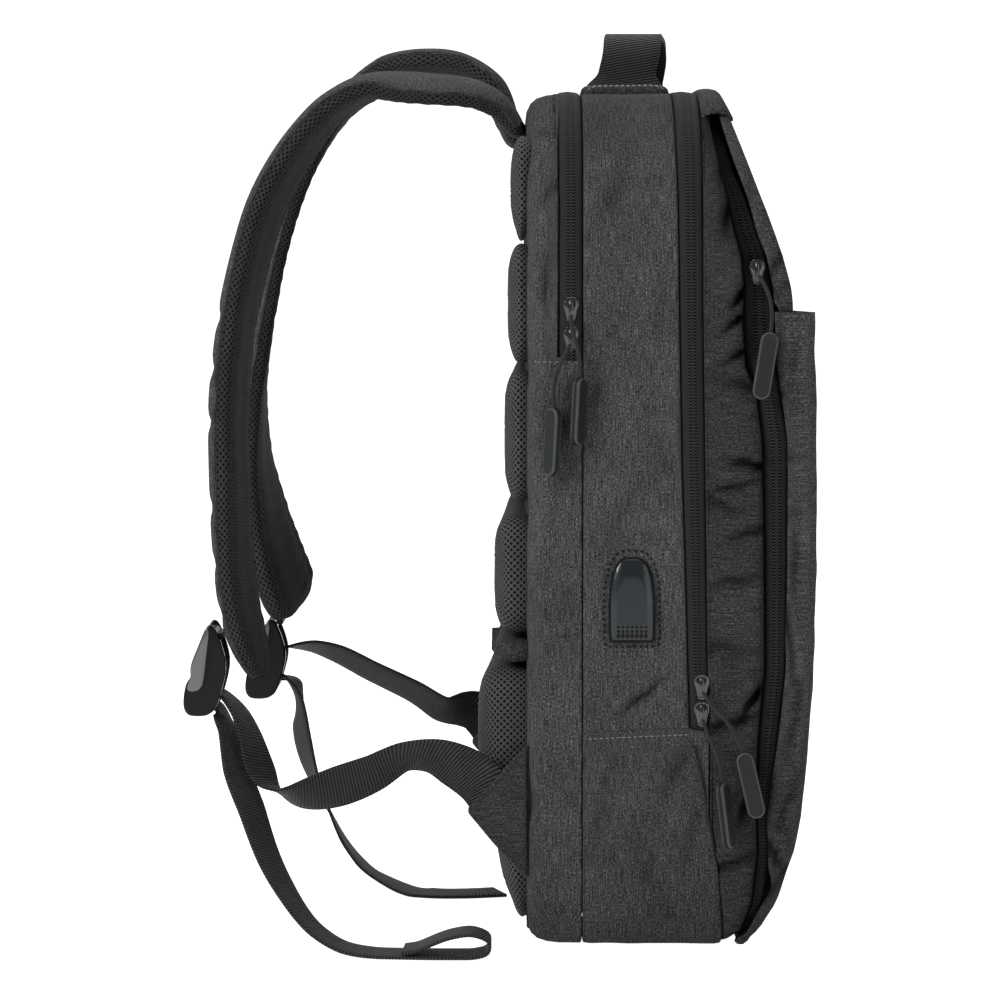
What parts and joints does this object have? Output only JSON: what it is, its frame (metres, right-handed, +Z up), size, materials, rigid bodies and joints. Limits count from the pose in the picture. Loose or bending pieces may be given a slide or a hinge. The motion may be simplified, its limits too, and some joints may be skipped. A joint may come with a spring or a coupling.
{
  "type": "laptop backpack",
  "caption": "Slim upright laptop backpack with padded back, curved padded shoulder straps, carry handle, zipped compartments and a side cable port.",
  "frame": {"origin": "on the base, midway between the sides, under the middle of the main compartment's depth", "axes": "+X out of the front pocket, +Y to the side away from the cable port, +Z up"},
  "size_m": [0.3403, 0.3435, 0.4965],
  "materials": {
    "body_fabric": "matte",
    "mesh_fabric": "matte",
    "webbing": "matte",
    "zip_tape": "matte",
    "slider_metal": "satin",
    "pull_cord": "matte",
    "pull_rubber": "matte",
    "lock_plastic": "satin",
    "pod_plastic": "satin"
  },
  "bodies": {
    "root": {"rear_compartment": "body_fabric", "main_compartment": "body_fabric", "front_compartment": "body_fabric", "front_flap": "body_fabric", "front_pocket": "body_fabric", "side_pocket_near": "body_fabric", "side_pocket_far": "body_fabric", "lumbar_band": "body_fabric", "strap_tab_near": "body_fabric", "strap_tab_far": "body_fabric", "back_pad_1": "mesh_fabric", "back_pad_2": "mesh_fabric", "back_pad_3": "mesh_fabric", "back_pad_4": "mesh_fabric", "back_pad_5": "mesh_fabric", "back_pad_6": "mesh_fabric", "shoulder_strap_near": "mesh_fabric", "shoulder_strap_far": "mesh_fabric", "handle": "webbing", "webbing_near": "webbing", "webbing_far": "webbing", "tail_near": "webbing", "tail_far": "webbing", "lock_seat_near": "webbing", "lock_seat_far": "webbing", "zip_tape_rear": "zip_tape", "zip_tape_main": "zip_tape", "zip_tape_front": "zip_tape", "zip_slider_1": "slider_metal", "zip_slider_2": "slider_metal", "zip_slider_3": "slider_metal", "zip_slider_4": "slider_metal", "zip_slider_5": "slider_metal", "zip_cord_1": "pull_cord", "zip_cord_2": "pull_cord", "zip_cord_3": "pull_cord", "zip_cord_4": "pull_cord", "zip_cord_5": "pull_cord", "pull_tab_1": "pull_rubber", "pull_tab_2": "pull_rubber", "pull_tab_3": "pull_rubber", "pull_tab_4": "pull_rubber", "pull_tab_5": "pull_rubber", "ladder_lock_near": "lock_plastic", "ladder_lock_far": "lock_plastic", "port_pod": "pod_plastic"}
  },
  "joints": []
}
